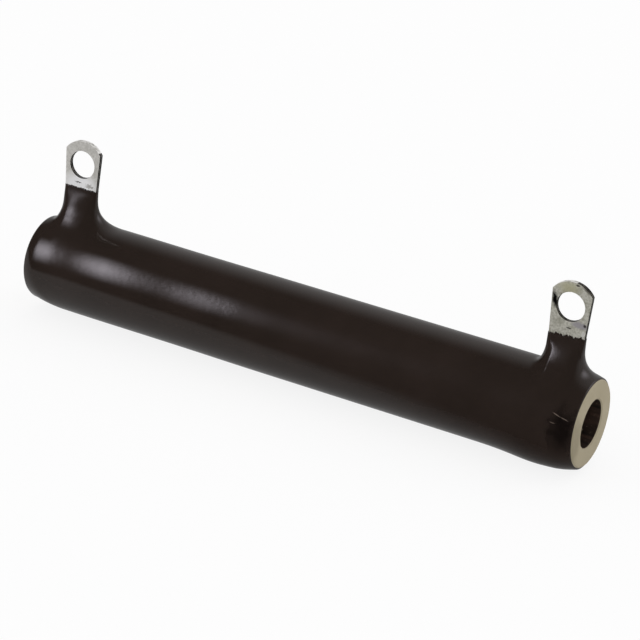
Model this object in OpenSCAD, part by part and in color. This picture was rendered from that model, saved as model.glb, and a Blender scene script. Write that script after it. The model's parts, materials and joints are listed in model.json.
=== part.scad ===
// Tubular wirewound power resistor with two lug terminals.
// The ceramic tube lies along X and the lugs stand up along Z.
// The origin is the middle of the tube's bore. All sizes are in millimetres.

/* [Ceramic tube] */
// Length of the ceramic tube
core_length = 101.6; // [80:0.1:160]
// Outside diameter of the ceramic tube
core_diameter = 14.3; // [13:0.1:16]
// Diameter of the bore through the tube
bore_diameter = 7.94; // [5:0.02:10]
// Chamfer on the edges of the tube's two ends
core_chamfer = 0.2; // [0.1:0.05:0.5]

/* [Terminals] */
// Thickness of the terminal strip
strip_thickness = 0.4; // [0.3:0.05:0.5]
// Width of the strip round the tube and at the foot of the lug
strip_width = 6; // [5:0.1:7]
// Distance from the tube's end to the middle of each terminal
terminal_inset = 6.1; // [5:0.1:12]
// Inside radius of the bend from the band into the lug
bend_radius = 0.8; // [0.5:0.1:1.2]
// Height above the tube's axis at which the lug starts to widen
lug_taper_height = 13; // [11:0.1:15]
// Width that the lug's sides would reach at the height of its tip
lug_tip_width = 6.9; // [6:0.1:8]
// Height of the lug's hole above the tube's axis
lug_hole_height = 18.05; // [17:0.05:22]
// Diameter of the lug's hole
lug_hole_diameter = 4.76; // [3:0.02:5]
// Metal between the lug's hole and its rounded tip
lug_tip_wall = 1.7; // [1:0.1:3]

/* [Winding] */
// Diameter of the resistance wire
wire_diameter = 0.4; // [0.3:0.05:0.5]
// Distance wanted from one turn of the wire to the next
wire_pitch = 2.8; // [1.9:0.1:6]
// Clearance of the wire from the tube, the enamel and the bands
wire_clearance = 0.02; // [0.01:0.01:0.05]

/* [Enamel] */
// Thickness of the enamel on the tube between the terminals
enamel_thickness = 0.8; // [0.75:0.05:1.5]
// Thickness of the enamel left at the rims of the tube
rim_film = 0.15; // [0.1:0.05:0.4]
// Swelling of the enamel over the left band
left_swell = 0.05; // [0.05:0.05:0.6]
// Swelling of the enamel over the right band
right_swell = 0.45; // [0.05:0.05:0.6]
// Length over which a swelling dies away towards the middle of the tube
swell_run = 7; // [4:0.5:12]
// Length over which the enamel thins towards the left rim
left_taper = 10; // [5:0.1:12]
// Length over which the enamel thins towards the right rim
right_taper = 6.8; // [5:0.1:12]

/* [Enamel necks] */
// Height above the tube's axis to which the enamel climbs on the left lug
left_neck_height = 14; // [12.5:0.1:15]
// Height above the tube's axis to which the enamel climbs on the right lug
right_neck_height = 13.4; // [12.5:0.1:15]
// Thickness of the enamel on the faces of a lug's foot
neck_face_film = 0.4; // [0.3:0.05:0.6]
// Thickness of the enamel on the edges of a lug's foot
neck_edge_film = 0.2; // [0.2:0.05:0.4]
// Length of a neck's flare along the tube
neck_flare = 3.6; // [2:0.1:5]
// Length of a neck's flare round the tube
neck_side_flare = 2.2; // [1:0.1:3]

/* [Hidden] */

$fn = 128;
// Segments of the long shallow arcs
arc_fn = 720;
// Overshoot of cutting shapes past the faces they cut
cut = 1;
left = -1;
right = 1;

core_r = core_diameter / 2;
half_length = core_length / 2;
band_r = core_r + strip_thickness;
terminal_x = half_length - terminal_inset;
hole_r = lug_hole_diameter / 2;
tip_r = hole_r + lug_tip_wall;
tip_height = lug_hole_height + tip_r;
// Depth by which the bends press into the strip, so that each arc crosses its neighbour cleanly
bend_bite = 0.02;
// Middle of the bend that turns the band into a leaf of the lug, in the plane across the tube
bend_y = strip_thickness + bend_radius - bend_bite;
bend_z = sqrt(pow(band_r + bend_radius - bend_bite, 2) - bend_y * bend_y);

// Sides of the wire and straight steps in one turn of it
wire_sides = 6;
turn_steps = 20;
wire_r = wire_diameter / 2;
winding_half = terminal_x - strip_width / 2;
wire_half = winding_half - wire_r - wire_clearance;
turns = max(1, round(2 * wire_half / wire_pitch));
// The corners of each turn stand out so that its straight steps clear the tube
helix_r = (core_r + wire_clearance + wire_r) / cos(180 / turn_steps);
winding_r = helix_r + wire_r + wire_clearance;

enamel_r = core_r + enamel_thickness;
rim_r = core_r + rim_film;
// Depth to which a neck's flare sinks under the enamel's surface, and of its foot under the tube's
flare_sink = 0.15;
neck_foot = 2;
// Clear length of tube left between a neck's flare and the tube's end
flare_margin = 0.3;
// Turn from one flat of a neck's wall to the next
neck_turn = 30;
neck_round = strip_thickness + neck_face_film;
neck_straight = strip_width / 2 + neck_edge_film - neck_round;
neck_lip = 0.7 * neck_edge_film;

function swell(side) = side == left ? left_swell : right_swell;
function taper(side) = side == left ? left_taper : right_taper;
function neck_top(side) = side == left ? left_neck_height : right_neck_height;
function peak_r(side) = enamel_r + swell(side);
function peak_x(side) = half_length - taper(side);

// Radius of the arc that drops by drop over a length of run
function arc_radius(run, drop) = (run * run + drop * drop) / (2 * drop);
function on_arc(peak, run, drop, away) =
    peak - arc_radius(run, drop) + sqrt(pow(arc_radius(run, drop), 2) - away * away);

// Outer radius of the enamel at a place along the tube
function coat_r(x) =
    let (side = x < 0 ? left : right, away = abs(x) - peak_x(side))
    away > 0 ? on_arc(peak_r(side), taper(side), peak_r(side) - rim_r, min(away, taper(side)))
    : away > -swell_run ? on_arc(peak_r(side), swell_run, swell(side), away)
    : enamel_r;

// Sets a shape drawn in the plane across the tube (y, z) on that plane, of a width along the tube
module across(width) {
    rotate([90, 0, 90])
        linear_extrude(height = width, center = true)
            children();
}

module ceramic_core() {
    bore_r = bore_diameter / 2;
    color("#a59c84")
        rotate([0, 90, 0])
            rotate_extrude()
                polygon([
                    [bore_r + core_chamfer, -half_length],
                    [core_r - core_chamfer, -half_length],
                    [core_r, core_chamfer - half_length],
                    [core_r, half_length - core_chamfer],
                    [core_r - core_chamfer, half_length],
                    [bore_r + core_chamfer, half_length],
                    [bore_r, half_length - core_chamfer],
                    [bore_r, core_chamfer - half_length]
                ]);
}

// One ring of corners of the wire at a turn angle
function wire_ring(angle) =
    let (x = -wire_half + 2 * wire_half * angle / (360 * turns))
    [for (k = [0 : wire_sides - 1])
        let (a = 360 * k / wire_sides, r = helix_r + wire_r * cos(a))
        [x + wire_r * sin(a), r * cos(angle), r * sin(angle)]];

// Side faces of a stack of rings that have the same count of points, and its two end faces
function ring_faces(rings, count) = concat(
    [for (i = [0 : rings - 2], k = [0 : count - 1]) [
        i * count + k, i * count + (k + 1) % count, (i + 1) * count + (k + 1) % count]],
    [for (i = [0 : rings - 2], k = [0 : count - 1]) [
        i * count + k, (i + 1) * count + (k + 1) % count, (i + 1) * count + k]],
    [[for (k = [count - 1 : -1 : 0]) k]],
    [[for (k = [0 : count - 1]) (rings - 1) * count + k]]);

module resistance_wire() {
    rings = turns * turn_steps + 1;
    points = [for (i = [0 : rings - 1]) each wire_ring(360 * i / turn_steps)];
    color("#8d8780")
        polyhedron(points, ring_faces(rings, wire_sides));
}

// The wedge across the tube in which the band's two ends bend outwards
module bend_wedge() {
    polygon([[0, 0], [bend_y, bend_z], [-bend_y, bend_z]]);
}

// Sets a shape on the middles of the two bends, seen along the tube
module at_bends() {
    for (y = [-bend_y, bend_y])
        translate([y, bend_z])
            children();
}

// The folded strip seen along the tube: open band, two bends and the two leaves of the lug
module strip_section() {
    difference() {
        union() {
            difference() {
                union() {
                    circle(band_r);
                    bend_wedge();
                }
                at_bends()
                    circle(bend_radius);
            }
            translate([-strip_thickness, bend_z - strip_thickness])
                square([2 * strip_thickness, tip_height - bend_z + strip_thickness]);
        }
        circle(core_r);
        difference() {
            bend_wedge();
            at_bends()
                circle(bend_radius + strip_thickness);
        }
    }
}

// Outline of the strip seen from the front: band and foot, widening lug, round tip and hole
module strip_outline() {
    difference() {
        intersection() {
            union() {
                translate([-strip_width / 2, -band_r - cut])
                    square([strip_width, lug_taper_height + band_r + cut]);
                polygon([
                    [-strip_width / 2, lug_taper_height],
                    [strip_width / 2, lug_taper_height],
                    [lug_tip_width / 2, tip_height],
                    [-lug_tip_width / 2, tip_height]
                ]);
            }
            union() {
                translate([0, lug_hole_height])
                    circle(tip_r);
                translate([-lug_tip_width, -band_r - cut])
                    square([2 * lug_tip_width, band_r + cut + lug_hole_height]);
            }
        }
        translate([0, lug_hole_height])
            circle(hole_r);
    }
}

module terminal() {
    intersection() {
        across(2 * lug_tip_width)
            strip_section();
        rotate([90, 0, 0])
            linear_extrude(height = 2 * band_r + cut, center = true)
                strip_outline();
    }
}

module terminal_left() {
    color("#b9b4ab")
        translate([-terminal_x, 0, 0])
            terminal();
}

module terminal_right() {
    color("#b9b4ab")
        translate([terminal_x, 0, 0])
            terminal();
}

// Section of the enamel from the middle of the tube to one end, as (radius, distance along)
module enamel_section(side) {
    peak = peak_r(side);
    crest = peak_x(side);
    swell_arc = arc_radius(swell_run, swell(side));
    rim_arc = arc_radius(taper(side), peak - rim_r);
    square([enamel_r, crest]);
    intersection() {
        translate([peak - swell_arc, crest])
            circle(swell_arc, $fn = arc_fn);
        translate([0, crest - swell_run])
            square([peak, swell_run]);
    }
    intersection() {
        translate([peak - rim_arc, crest])
            circle(rim_arc, $fn = arc_fn);
        translate([0, crest])
            square([peak, taper(side)]);
    }
}

// Length of a neck's flare in a direction round the lug, short of the tube's near end
function flare_length(side, a) =
    let (room = terminal_inset - strip_width / 2 - neck_edge_film - flare_margin,
        along = cos(a) * side > 0 ? min(neck_flare, room) : neck_flare)
    neck_side_flare + (along - neck_side_flare) * pow(cos(a), 2);

// Distance of a neck's wall from the middle of the lug, in a direction round the lug
function neck_wall(a) = neck_straight * abs(cos(a)) + neck_round;

// Height of the middle of a flare's arc, which runs out on the enamel's surface, sunk a little
function flare_height(side, a) =
    let (run = flare_length(side, a),
        foot_x = side * terminal_x + sign(cos(a)) * neck_straight + (neck_round + run) * cos(a),
        foot_y = (neck_round + run) * sin(a))
    sqrt(pow(coat_r(foot_x) - flare_sink + run, 2) - foot_y * foot_y);

// What the flare and the wall of a neck leave free on one side, seen along the wall
module beside_neck(side, a) {
    run = flare_length(side, a);
    wall = neck_wall(a);
    height = flare_height(side, a);
    translate([wall + run, height])
        circle(run);
    translate([wall, height])
        square([run + cut, tip_height]);
}

// A neck seen along one direction of its wall: wall, rounded lip and a flare on either side
module neck_profile(side, a) {
    wall = neck_wall(a);
    top = neck_top(side);
    low = core_r - neck_foot;
    difference() {
        translate([-wall - flare_length(side, a + 180), low])
            square([2 * wall + flare_length(side, a) + flare_length(side, a + 180), top - neck_lip - low]);
        beside_neck(side, a);
        mirror([1, 0])
            beside_neck(side, a + 180);
    }
    translate([neck_lip - wall, low])
        square([2 * (wall - neck_lip), top - low]);
    for (edge = [neck_lip - wall, wall - neck_lip])
        translate([edge, top - neck_lip])
            circle(neck_lip);
}

// The enamel on the foot of one lug: the shape that all its side views share
module enamel_neck(side) {
    length = 4 * (neck_straight + neck_round + neck_flare);
    translate([side * terminal_x, 0, 0])
        intersection_for (a = [0 : neck_turn : 180 - neck_turn])
            rotate([90, 0, a])
                linear_extrude(height = length, center = true)
                    neck_profile(side, a);
}

module enamel_coat() {
    color("#2b2422")
        difference() {
            union() {
                rotate([0, 90, 0])
                    rotate_extrude() {
                        enamel_section(right);
                        mirror([0, 1])
                            enamel_section(left);
                    }
                enamel_neck(left);
                enamel_neck(right);
            }
            rotate([0, 90, 0])
                cylinder(r = core_r, h = core_length + cut, center = true);
            rotate([0, 90, 0])
                cylinder(r = winding_r, h = 2 * winding_half, center = true);
            terminal_left();
            terminal_right();
        }
}

ceramic_core();
resistance_wire();
terminal_left();
terminal_right();
enamel_coat();
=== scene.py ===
"""Looks of a tubular wirewound power resistor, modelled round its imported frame.

The tube lies along X, the lugs stand up along Z and the origin is the middle of the bore.
Every length is in metres.
"""

import json
import logging
import math
from collections.abc import Callable
from dataclasses import dataclass
from enum import Enum

import bmesh
import bpy
import numpy as np
from bpy.types import Material, Node, NodeSocket, NodeTree, Object
from mathutils import Matrix, Vector


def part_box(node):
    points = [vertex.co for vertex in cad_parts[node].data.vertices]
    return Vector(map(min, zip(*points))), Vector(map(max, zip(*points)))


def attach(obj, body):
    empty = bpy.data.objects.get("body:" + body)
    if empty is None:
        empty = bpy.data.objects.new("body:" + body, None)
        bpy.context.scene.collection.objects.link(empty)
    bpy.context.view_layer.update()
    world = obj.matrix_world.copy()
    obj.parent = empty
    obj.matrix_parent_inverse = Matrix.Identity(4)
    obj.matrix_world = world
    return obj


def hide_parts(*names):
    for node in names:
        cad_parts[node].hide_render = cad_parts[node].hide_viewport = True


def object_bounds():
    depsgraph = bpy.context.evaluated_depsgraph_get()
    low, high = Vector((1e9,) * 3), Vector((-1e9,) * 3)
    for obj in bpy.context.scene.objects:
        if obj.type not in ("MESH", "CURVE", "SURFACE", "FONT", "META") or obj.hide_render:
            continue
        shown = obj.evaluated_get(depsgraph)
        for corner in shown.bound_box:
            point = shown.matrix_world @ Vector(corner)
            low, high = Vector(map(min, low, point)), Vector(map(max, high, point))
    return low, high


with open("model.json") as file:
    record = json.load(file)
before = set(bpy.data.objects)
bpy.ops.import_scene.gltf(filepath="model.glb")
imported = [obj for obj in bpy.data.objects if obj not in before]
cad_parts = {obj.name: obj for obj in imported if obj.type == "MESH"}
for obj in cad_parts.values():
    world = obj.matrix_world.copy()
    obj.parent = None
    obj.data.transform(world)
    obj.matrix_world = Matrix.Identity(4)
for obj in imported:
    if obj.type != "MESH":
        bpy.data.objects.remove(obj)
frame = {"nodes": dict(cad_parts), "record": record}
CAD_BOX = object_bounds()

MM = 0.001
# Room for rounding when places are compared, and the finest step on a surface
SLACK = 0.01 * MM
HAIR = 0.001 * MM
BODY = "root"
MOUNTS = {mount["name"]: mount for mount in frame["record"]["mounts"]}
CORE_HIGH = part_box("ceramic_core")[1]
HALF_LENGTH = CORE_HIGH.x
CORE_R = CORE_HIGH.z
CORE_ROUND = 0.8 * MM
BORE_R = MOUNTS["core_bore"]["dims"]["r_mm"] * MM
LUG_HOLE_R = MOUNTS["lug_hole_left"]["dims"]["r_mm"] * MM
TERMINAL_X = MOUNTS["lug_hole_right"]["pos_m"][0]
LUG_HOLE_Z = MOUNTS["lug_hole_right"]["pos_m"][2]
LUG_TIP_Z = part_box("terminal_right")[1].z
BAND_R = -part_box("terminal_right")[0].z
# Place of the lugs' stains and painted shade across the tube, just inside the front faces
LUG_MARK_Y = -0.4 * MM
# Angle round the tube, up from the front, at which the enamel faces lens and lamp alike
LIT_ANGLE = math.radians(27)
# Points on which the slopes of a profile are added up
PROFILE_POINTS = 1000
# Sockets of the colour mix node, which share their names
MIX_FACTOR, MIX_A, MIX_B, MIX_RESULT = 0, 6, 7, 2
WHITE = (1.0, 1.0, 1.0, 1.0)

Pair = tuple[float, float]
Triple = tuple[float, float, float]
Colour = tuple[float, float, float, float]
Values = float | np.ndarray
Inputs = dict[str | int, object]
log = logging.getLogger("resistor")


class Side(Enum):
    """The two ends of the tube, by the sign of their X."""

    LEFT = -1
    RIGHT = 1

    @property
    def label(self) -> str:
        """Name of the side as it is used in the names of nodes and pieces."""
        return self.name.lower()


class StripFace(Enum):
    """Kinds of face on the terminal strip, by the number of their material."""

    SHEET = 0
    SHEARED = 1
    # The tip's edges, with a painted highlight
    RUBBED = 2


class CoreFace(Enum):
    """Kinds of face on the ceramic tube, by the number of their material."""

    BARE = 0
    BORE = 1


class Element(Enum):
    """What is picked in edit mode, with the name of its list in the mesh."""

    VERT = "verts"
    EDGE = "edges"
    FACE = "faces"


def linear(colour: str) -> Colour:
    """Turns an sRGB colour into linear light.

    Args:
        colour: Hex value such as "#a09880".

    Returns:
        Linear red, green, blue and an alpha of 1.
    """
    parts = [int(colour[i : i + 2], 16) / 255 for i in (1, 3, 5)]
    # The sRGB curve is straight near black and a power above it
    red, green, blue = [c / 12.92 if c <= 0.04045 else ((c + 0.055) / 1.055) ** 2.4 for c in parts]
    return red, green, blue, 1.0


def mm(*lengths: float) -> tuple[float, ...]:
    """Turns lengths in millimetres into metres."""
    return tuple(length * MM for length in lengths)


def set_inputs(tree: NodeTree, node: Node, inputs: Inputs) -> None:
    """Links a node's inputs, or sets them to values.

    Args:
        tree: Node tree that holds the node.
        node: The node.
        inputs: Values or output sockets by the name or number of the input they go to.
    """
    for key, value in inputs.items():
        if isinstance(value, NodeSocket):
            tree.links.new(value, node.inputs[key])
        else:
            node.inputs[key].default_value = value


def add_node(tree: NodeTree, kind: str, inputs: Inputs | None = None, **settings: object) -> Node:
    """Adds a node with its settings and links.

    Args:
        tree: Node tree that gets the node.
        kind: Blender's name of the node's type.
        inputs: Values or output sockets by the name or number of the input they go to.
        settings: Properties of the node itself.

    Returns:
        The new node.
    """
    node = tree.nodes.new(kind)
    for name, value in settings.items():
        setattr(node, name, value)
    set_inputs(tree, node, inputs or {})
    return node


def blend(
    tree: NodeTree,
    pattern: NodeSocket,
    below: NodeSocket | Colour,
    above: Colour,
    share: Pair = (0.0, 1.0),
    most: float = 1.0,
) -> NodeSocket:
    """Goes from one colour to another where a pattern rises.

    Args:
        tree: Node tree of the material.
        pattern: Socket with the pattern.
        below: Colour where the pattern is low, as a value or a socket.
        above: Colour where it is high.
        share: Values of the pattern between which the colour changes.
        most: Weight of the upper colour where the pattern is high.

    Returns:
        Socket with the blended colour.
    """
    weight = add_node(
        tree,
        "ShaderNodeMapRange",
        {"Value": pattern, "From Min": share[0], "From Max": share[1], "To Max": most},
    )
    return add_node(
        tree,
        "ShaderNodeMix",
        {MIX_FACTOR: weight.outputs["Result"], MIX_A: below, MIX_B: above},
        data_type="RGBA",
    ).outputs[MIX_RESULT]


def stage_material(name: str) -> Material:
    """Makes a material for the stage that has nothing but its output yet.

    Args:
        name: Name of the material.

    Returns:
        The new material.
    """
    made = bpy.data.materials.new(name)
    made.use_nodes = True
    made.node_tree.nodes.remove(made.node_tree.nodes["Principled BSDF"])
    return made


def smooth_step(low: Values, high: Values, value: np.ndarray) -> np.ndarray:
    """Rises smoothly from 0 at low to 1 at high.

    Args:
        low: Value at which the rise starts.
        high: Value at which it ends.
        value: Values to weigh.

    Returns:
        A weight from 0 to 1 for each value.
    """
    t = np.clip((value - low) / (high - low), 0.0, 1.0)
    return t * t * (3 - 2 * t)


def add_up(slopes: tuple[Pair, ...], at: np.ndarray) -> np.ndarray:
    """Adds slopes up to the rise of a profile.

    Args:
        slopes: Places along the profile, the lowest first, each with the slope there.
        at: Places at which the rise is wanted.

    Returns:
        Rise at each place, 0 at the first place of the profile.
    """
    knots, steep = np.array(slopes).T
    grid = np.linspace(knots[0], knots[-1], PROFILE_POINTS)
    rise = np.cumsum(np.interp(grid, knots, steep)) * (grid[1] - grid[0])
    return np.interp(at, grid, rise - rise[0])


def core_radius(x: Values) -> np.ndarray:
    """Works out the ceramic tube's outer radius, which rounds off at its left end.

    Args:
        x: Places along the tube.

    Returns:
        Radius at each place.
    """
    past = np.clip(CORE_ROUND - HALF_LENGTH - x, 0, CORE_ROUND)
    return CORE_R - CORE_ROUND + np.sqrt(CORE_ROUND**2 - past**2)


def turn_to(along: Triple, normal: Triple) -> Triple:
    """Works out the turn of a mark that lies on a surface.

    Args:
        along: Direction of the mark's length.
        normal: Direction in which the surface faces.

    Returns:
        Euler angles that carry X to along and Z to the normal.
    """
    up = Vector(normal).normalized()
    across = up.cross(Vector(along)).normalized()
    return tuple(Matrix((across.cross(up), across, up)).transposed().to_euler())


def add_ring(count: int, x: float, radius: float) -> None:
    """Adds an open ring across the tube.

    Args:
        count: Number of points round the ring.
        x: Place of the ring along the tube.
        radius: Radius of the ring.
    """
    bpy.ops.mesh.primitive_circle_add(
        vertices=count, radius=radius, location=(x, 0, 0), rotation=(0, math.pi / 2, 0)
    )


class Workpiece:
    """One mesh that is shaped in edit mode, as by hand."""

    def __init__(self, name: str) -> None:
        """Takes the primitive that was just added, and opens it for editing.

        Args:
            name: Name of the finished piece.
        """
        self.obj = bpy.context.object
        self.obj.name = name
        self.obj.data.name = name
        bpy.ops.object.transform_apply(location=True, rotation=True, scale=True)
        bpy.ops.object.mode_set(mode="EDIT")

    @classmethod
    def ring(cls, name: str, count: int, x: float, radius: float) -> "Workpiece":
        """Starts a piece from an open ring across the tube.

        Args:
            name: Name of the finished piece.
            count: Number of points round the ring.
            x: Place of the ring along the tube.
            radius: Radius of the ring.

        Returns:
            The piece, with its ring selected.
        """
        bpy.ops.object.select_all(action="DESELECT")
        add_ring(count, x, radius)
        return cls(name)

    def pick(
        self, element: Element, test: Callable[[Vector], bool], border: bool = False
    ) -> None:
        """Selects what lies where the test says, and nothing else.

        Args:
            element: Kind of element to select.
            test: Says of the middle of an element if it is wanted.
            border: Takes only edges that have a face on one side.
        """
        bpy.ops.mesh.select_mode(type=element.name)
        bpy.ops.mesh.select_all(action="DESELECT")
        shape = bmesh.from_edit_mesh(self.obj.data)
        for item in getattr(shape, element.value):
            points = [item.co] if element is Element.VERT else [v.co for v in item.verts]
            wanted = not border or item.is_boundary
            if wanted and test(sum(points, Vector()) / len(points)):
                item.select_set(True)
        bmesh.update_edit_mesh(self.obj.data)

    def extrude(self, move: Triple = (0, 0, 0)) -> None:
        """Extrudes the selection by a move."""
        bpy.ops.mesh.extrude_region_move(TRANSFORM_OT_translate={"value": move})

    def resize(self, scale: Triple, centre: Triple) -> None:
        """Scales the selection about a point."""
        bpy.ops.transform.resize(value=scale, center_override=centre)

    def lathe(self, rings: list[Pair]) -> None:
        """Extrudes the selected ring along the tube, ring by ring.

        Args:
            rings: Place along the tube and radius of each ring, the selected one first.
        """
        (x, radius), *others = rings
        for next_x, next_radius in others:
            self.extrude((next_x - x, 0, 0))
            share = next_radius / radius
            self.resize((1, share, share), (next_x, 0, 0))
            x, radius = next_x, next_radius

    def close_between(self, test: Callable[[Vector], bool]) -> None:
        """Bridges the two open rings that the test takes in."""
        self.pick(Element.EDGE, test, border=True)
        bpy.ops.mesh.bridge_edge_loops()

    def leave(self) -> None:
        """Goes back to object mode."""
        bpy.ops.object.mode_set(mode="OBJECT")

    def modify(self, kind: str, **settings: object) -> None:
        """Adds a modifier to the piece and applies it.

        Args:
            kind: Blender's name of the modifier's type.
            settings: Properties of the modifier.
        """
        modifier = self.obj.modifiers.new(kind.title(), kind)
        for name, value in settings.items():
            setattr(modifier, name, value)
        bpy.ops.object.modifier_apply(modifier=modifier.name)

    def points(self) -> np.ndarray:
        """Reads the places of all points.

        Returns:
            The places, as one row each.
        """
        flat = np.empty(len(self.obj.data.vertices) * 3)
        self.obj.data.vertices.foreach_get("co", flat)
        return flat.reshape(-1, 3)

    def move_points(self, places: np.ndarray) -> None:
        """Puts all points at new places."""
        self.obj.data.vertices.foreach_set("co", places.ravel())
        self.obj.data.update()

    def face_outwards(self) -> None:
        """Turns all faces of a closed mesh outwards, from object mode."""
        bpy.ops.object.mode_set(mode="EDIT")
        bpy.ops.mesh.select_all(action="SELECT")
        bpy.ops.mesh.normals_make_consistent(inside=False)
        self.leave()

    def dress(self, sharp_angle: float, *finishes: Material) -> None:
        """Shades the piece smoothly and gives it its materials.

        Args:
            sharp_angle: Angle between two faces from which their edge stays sharp.
            finishes: The materials, in the order of their numbers.
        """
        bpy.ops.object.shade_smooth_by_angle(angle=sharp_angle)
        for finish in finishes:
            self.obj.data.materials.append(finish)

    def paint_faces(self, kind: Callable[[Vector, Vector], Enum]) -> None:
        """Gives each face the material of its kind.

        Args:
            kind: Tells a face's kind, with the number of its material, from middle and normal.
        """
        for face in self.obj.data.polygons:
            face.material_index = kind(face.center, face.normal).value

    def hand_in(self, node: str, slot: str) -> None:
        """Rides the piece on the part's body in place of a node.

        Args:
            node: CAD node that the piece stands for.
            slot: Material slot of the record for the piece; not used.

        Raises:
            ValueError: The mesh is not closed.
        """
        shape = bmesh.new()
        shape.from_mesh(self.obj.data)
        open_edges = sum(not edge.is_manifold for edge in shape.edges)
        shape.free()
        if open_edges:
            raise ValueError(f"{self.obj.name} has {open_edges} open edges")
        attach(self.obj, BODY)
        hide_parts(node)
        mesh = self.obj.data
        log.info("%s: %d points, %d faces", self.obj.name, len(mesh.vertices), len(mesh.polygons))


@dataclass(frozen=True)
class Grain:
    """A random pattern, by the size of its clouds and the number of finer layers in them."""

    size: float
    layers: float = 3.0

    def inputs(self, place: NodeSocket) -> Inputs:
        """Tells a noise node how to draw the pattern at the given coordinates."""
        return {"Vector": place, "Scale": 1 / self.size, "Detail": self.layers}


@dataclass(frozen=True)
class Mark:
    """A stain, patch, scratch, painted shade or painted reflection: a flat ellipsoid on the surface
    in which a colour shows.
    """

    at: Triple
    half_size: Triple
    turn: Triple
    colour: str
    strength: float = 1.0
    ragged: float = 0.0
    grain: Grain = Grain(1.0 * MM)
    core: float = 0.4

    def mask(self, tree: NodeTree, place: NodeSocket) -> NodeSocket:
        """Draws the mark.

        Args:
            tree: Node tree of the material.
            place: Socket with object coordinates.

        Returns:
            Socket with the mark's strength inside its core and 0 outside the mark.
        """
        noise = add_node(tree, "ShaderNodeTexNoise", self.grain.inputs(place))
        shift = add_node(
            tree,
            "ShaderNodeVectorMath",
            {0: noise.outputs["Color"], 1: (self.ragged,) * 3, 2: (-self.ragged / 2,) * 3},
            operation="MULTIPLY_ADD",
        )
        moved = add_node(
            tree, "ShaderNodeVectorMath", {0: place, 1: shift.outputs[0]}, operation="ADD"
        )
        local = add_node(
            tree,
            "ShaderNodeMapping",
            {
                "Vector": moved.outputs[0],
                "Location": self.at,
                "Rotation": self.turn,
                "Scale": self.half_size,
            },
            vector_type="TEXTURE",
        )
        reach = add_node(tree, "ShaderNodeVectorMath", {0: local.outputs[0]}, operation="LENGTH")
        return add_node(
            tree,
            "ShaderNodeMapRange",
            {
                "Value": reach.outputs["Value"],
                "From Min": self.core,
                "From Max": 1.0,
                "To Min": self.strength,
                "To Max": 0.0,
            },
            interpolation_type="SMOOTHSTEP",
        ).outputs["Result"]


@dataclass(frozen=True)
class Finish:
    """A surface finish of two tones that is made as one procedural material."""

    name: str
    deep: str
    light: str

    def material(self) -> Material:
        """Makes the finish.

        Returns:
            The material, ready to be put on a piece.
        """
        made = bpy.data.materials.new(self.name)
        made.use_nodes = True
        tree = made.node_tree
        place = add_node(tree, "ShaderNodeTexCoord").outputs["Object"]
        set_inputs(tree, tree.nodes["Principled BSDF"], self.paint(tree, place))
        return made

    def paint(self, tree: NodeTree, place: NodeSocket) -> Inputs:
        """Adds the finish's own nodes.

        Args:
            tree: Node tree of the material.
            place: Socket with object coordinates.

        Returns:
            What goes to the inputs of the main shader.
        """
        raise NotImplementedError

    def two_tone(
        self, tree: NodeTree, pattern: NodeSocket, share: Pair = (0.0, 1.0)
    ) -> NodeSocket:
        """Colours a pattern, deep where it is low and light where it is high.

        Args:
            tree: Node tree of the material.
            pattern: Socket with the pattern.
            share: Values of the pattern between which deep turns to light.

        Returns:
            Socket with the colour.
        """
        return blend(tree, pattern, linear(self.deep), linear(self.light), share)

    def lay_marks(
        self, tree: NodeTree, place: NodeSocket, colour: NodeSocket, marks: tuple[Mark, ...]
    ) -> NodeSocket:
        """Lays marks one after the other over a colour.

        Args:
            tree: Node tree of the material.
            place: Socket with object coordinates.
            colour: Socket with the colour under the marks.
            marks: The marks, the lowest first.

        Returns:
            Socket with the marked colour.
        """
        for mark in marks:
            colour = blend(tree, mark.mask(tree, place), colour, linear(mark.colour))
        return colour


@dataclass(frozen=True)
class VitreousEnamel(Finish):
    """Dark brown vitreous enamel, fired on: a soft gloss, uneven and slightly peeled."""

    name: str = "vitreous_enamel"
    deep: str = "#231d19"
    light: str = "#302723"
    cloud: Grain = Grain(9 * MM)
    roughness: float = 0.11
    unevenness: float = 0.03
    neck_dulling: float = 0.02
    neck_from: float = 8.6 * MM
    neck_to: float = 9.6 * MM
    peel: Grain = Grain(0.9 * MM, layers=2.0)
    peel_depth: float = 0.004 * MM
    marks: tuple[Mark, ...] = ()

    def paint(self, tree: NodeTree, place: NodeSocket) -> Inputs:
        """Clouds the brown, adds the marks and roughens the gloss with a fine peel.

        Args:
            tree: Node tree of the material.
            place: Socket with object coordinates.

        Returns:
            What goes to the inputs of the main shader.
        """
        clouds = add_node(tree, "ShaderNodeTexNoise", self.cloud.inputs(place)).outputs["Fac"]
        brown = self.two_tone(tree, clouds)
        sheen = add_node(
            tree,
            "ShaderNodeMapRange",
            {
                "Value": clouds,
                "To Min": self.roughness - self.unevenness,
                "To Max": self.roughness + self.unevenness,
            },
        )
        height = add_node(tree, "ShaderNodeSeparateXYZ", {"Vector": place}).outputs["Z"]
        dulling = add_node(
            tree,
            "ShaderNodeMapRange",
            {
                "Value": height,
                "From Min": self.neck_from,
                "From Max": self.neck_to,
                "To Max": self.neck_dulling,
            },
        )
        rough = add_node(
            tree,
            "ShaderNodeMath",
            {0: sheen.outputs["Result"], 1: dulling.outputs["Result"]},
            operation="ADD",
        )
        peel = add_node(tree, "ShaderNodeTexNoise", self.peel.inputs(place)).outputs["Fac"]
        bump = add_node(
            tree,
            "ShaderNodeBump",
            {"Height": peel, "Distance": self.peel_depth, "Strength": 1.0},
        )
        return {
            "Base Color": self.lay_marks(tree, place, brown, self.marks),
            "Roughness": rough.outputs[0],
            "Normal": bump.outputs["Normal"],
        }


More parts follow.
